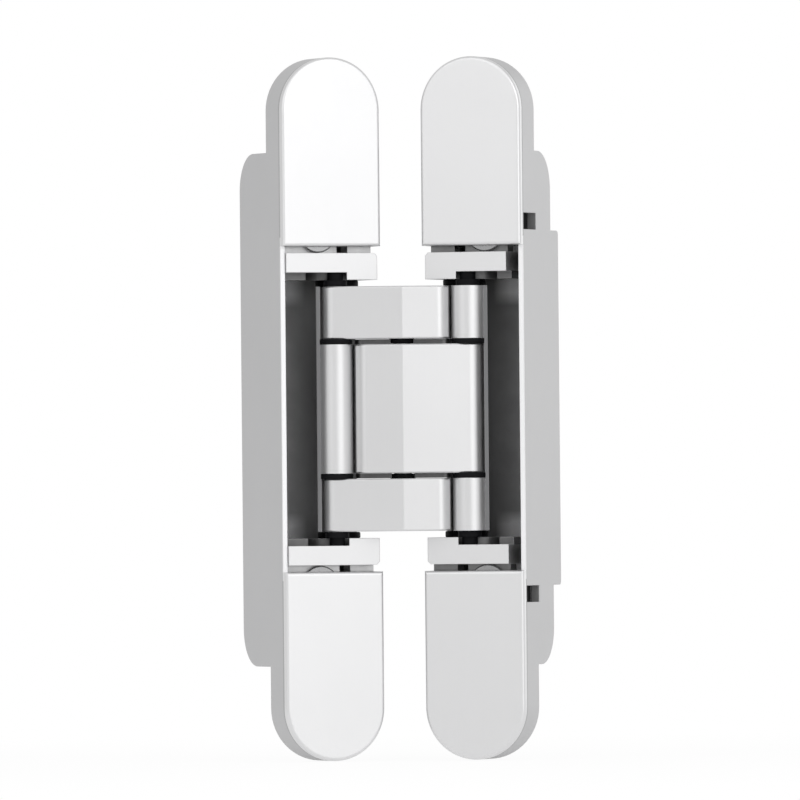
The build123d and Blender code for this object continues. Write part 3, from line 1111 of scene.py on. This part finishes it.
class HINGE_OT_housings(bpy.types.Operator):
    """Coat the cast leaves, with raw metal, painted shade and painted light in their pockets"""

    bl_idname = "hinge.housings"
    bl_label = "Cast leaves"

    def execute(self, context):
        settings = context.scene.hinge_finish
        for leaf in LEAVES:
            coat = metal(
                f"Silver coat {leaf}",
                settings.body_colour,
                settings.cast_roughness,
                CAST_COAT,
                settings,
                leaf_marks(leaf, settings),
            )
            dress([f"{leaf}_housing"], coat)
        return {"FINISHED"}


class HINGE_OT_blocks(bpy.types.Operator):
    """Finish the end blocks as blasted castings"""

    bl_idname = "hinge.blocks"
    bl_label = "End blocks"

    def execute(self, context):
        settings = context.scene.hinge_finish
        for leaf in LEAVES:
            blasted = metal(
                f"Blasted casting {leaf}",
                settings.block_colour,
                settings.satin_roughness + ROUGHER_BLOCKS,
                BLASTED,
                settings,
                block_marks(leaf, settings),
            )
            dress([f"{leaf}_{end}_block" for end in ("upper", "lower")], blasted)
        return {"FINISHED"}


class HINGE_OT_arms(bpy.types.Operator):
    """Finish the arms and links in satin metal"""

    bl_idname = "hinge.arms"
    bl_label = "Arms and links"

    def execute(self, context):
        settings = context.scene.hinge_finish
        satin = metal(
            "Satin arm metal",
            settings.arm_colour,
            settings.satin_roughness - SMOOTHER_ARMS,
            SATIN,
            settings,
            arm_marks(settings),
        )
        dress(["upper_arm", "middle_arm", "lower_arm"], satin)
        plain = metal(
            "Plain link metal",
            settings.arm_colour,
            settings.satin_roughness,
            PLAIN,
            settings,
            link_marks(settings),
        )
        dress(["left_link", "right_link"], plain)
        return {"FINISHED"}


class HINGE_OT_pins(bpy.types.Operator):
    """Finish the pins and spacer sleeves in ground steel"""

    bl_idname = "hinge.pins"
    bl_label = "Pins and sleeves"

    def execute(self, context):
        settings = context.scene.hinge_finish
        ground = metal("Ground steel", settings.pin_colour, PIN_ROUGHNESS, GROUND, settings)
        pins = [f"{leaf}_{kind}_pin" for leaf in LEAVES for kind in ("pivot", "guide")]
        dress([*pins, "centre_pin", "left_spacer_sleeves", "right_spacer_sleeve"], ground)
        return {"FINISHED"}


class HINGE_OT_washers(bpy.types.Operator):
    """Make the black nylon washers with rounded edges, and dress the rollers"""

    bl_idname = "hinge.washers"
    bl_label = "Nylon washers"

    def execute(self, context):
        finish = context.scene.hinge_finish
        settings = context.scene.hinge_screws
        black = nylon("Black nylon", finish.washer_colour, finish)
        tree = ring_tree()
        dress([f"{leaf}_guide_rollers" for leaf in LEAVES], black)
        kinds = ("bearing_washers", "guide_washers")
        for node in [*(f"{leaf}_{kind}" for leaf in LEAVES for kind in kinds), "centre_washers"]:
            low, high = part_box(node)
            centre = (low + high) / 2
            points = [vertex.co for vertex in frame["nodes"][node].data.vertices]
            bore = min((point - centre).to_2d().length for point in points)
            base = min(point.z for point in points if point.z > centre.z)
            level = (base + high.z) / 2
            piece = grow(
                tree,
                f"{node}_moulded",
                [(centre.x, centre.y, level), (centre.x, centre.y, -level)],
                {
                    "Outer Radius": (high.x - low.x) / 2,
                    "Bore Radius": bore,
                    "Thickness": high.z - base,
                    "Edge Radius": settings.washer_edge,
                    "Material": black,
                },
            )
            stand_in(piece, node)
        return {"FINISHED"}


class HINGE_OT_screws(bpy.types.Operator):
    """Make the socket screws that clamp and adjust the blocks"""

    bl_idname = "hinge.screws"
    bl_label = "Socket screws"

    def execute(self, context):
        finish = context.scene.hinge_finish
        settings = context.scene.hinge_screws
        plated = metal("Zinc plating", finish.screw_colour, SCREW_ROUGHNESS, ZINC, finish)
        tree = screw_tree()
        heads_up = Matrix.Rotation(pi / 2, 4, "X")
        for leaf in LEAVES:
            for kind in ("clamp", "adjusting"):
                node = f"{leaf}_{kind}_screws"
                points = [point for point in node_points(node, leaf) if point.z > 0]
                left, right = min(p.x for p in points), max(p.x for p in points)
                low, high = min(p.z for p in points), max(p.z for p in points)
                front, back = min(p.y for p in points), max(p.y for p in points)
                across, up = (left + right) / 2, (low + high) / 2
                seat = front + settings.head_height
                piece = grow(
                    tree,
                    f"{node}_threaded",
                    [(across, up, -seat), (across, -up, -seat)],
                    {
                        "Head Radius": (high - low) / 2,
                        "Head Height": settings.head_height,
                        "Head Chamfer": settings.head_edge,
                        "Socket Radius": settings.socket_radius,
                        "Socket Depth": settings.socket_depth,
                        "Shank Radius": settings.shank_radius,
                        "Shank Length": back - seat,
                        "Thread Depth": settings.thread_depth,
                        "Thread Pitch": settings.thread_pitch,
                        "Material": plated,
                    },
                )
                piece.data.transform(LEAF_MATRIX[leaf] @ heads_up)
                stand_in(piece, node)
        return {"FINISHED"}


class HINGE_OT_stage(bpy.types.Operator):
    """Set up the floor, the light and the camera"""

    bl_idname = "hinge.stage"
    bl_label = "Studio"

    def execute(self, context):
        settings = context.scene.hinge_stage
        make_world(context.scene, settings)
        make_floor(context.scene, settings)
        make_lights(context.scene, settings)
        make_camera(context.scene, settings)
        context.scene.view_settings.view_transform = "Standard"
        return {"FINISHED"}


class HINGE_PT_panel(bpy.types.Panel):
    """Sidebar panel of the hinge"""

    bl_label = "Concealed hinge"
    bl_idname = "HINGE_PT_panel"
    bl_space_type = "VIEW_3D"
    bl_region_type = "UI"
    bl_category = "Hinge"

    def draw(self, context):
        for operator in OPERATORS:
            self.layout.operator(operator.bl_idname)
        for group in (context.scene.hinge_finish, context.scene.hinge_screws, context.scene.hinge_stage):
            box = self.layout.box()
            for name in group.__annotations__:
                box.prop(group, name)


SETTINGS = {
    "hinge_finish": HingeFinishSettings,
    "hinge_screws": HingeScrewSettings,
    "hinge_stage": HingeStageSettings,
}
OPERATORS = (
    HINGE_OT_covers,
    HINGE_OT_housings,
    HINGE_OT_blocks,
    HINGE_OT_arms,
    HINGE_OT_pins,
    HINGE_OT_washers,
    HINGE_OT_screws,
    HINGE_OT_stage,
)
CLASSES = (*SETTINGS.values(), *OPERATORS, HINGE_PT_panel)


def register():
    for each in CLASSES:
        bpy.utils.register_class(each)
    for name, group in SETTINGS.items():
        setattr(bpy.types.Scene, name, bpy.props.PointerProperty(type=group))


def unregister():
    for name in SETTINGS:
        delattr(bpy.types.Scene, name)
    for each in reversed(CLASSES):
        bpy.utils.unregister_class(each)


def main():
    register()
    bpy.ops.hinge.covers()
    bpy.ops.hinge.housings()
    bpy.ops.hinge.blocks()
    bpy.ops.hinge.arms()
    bpy.ops.hinge.pins()
    bpy.ops.hinge.washers()
    bpy.ops.hinge.screws()
    bpy.ops.hinge.stage()


if __name__ == "__main__":
    main()
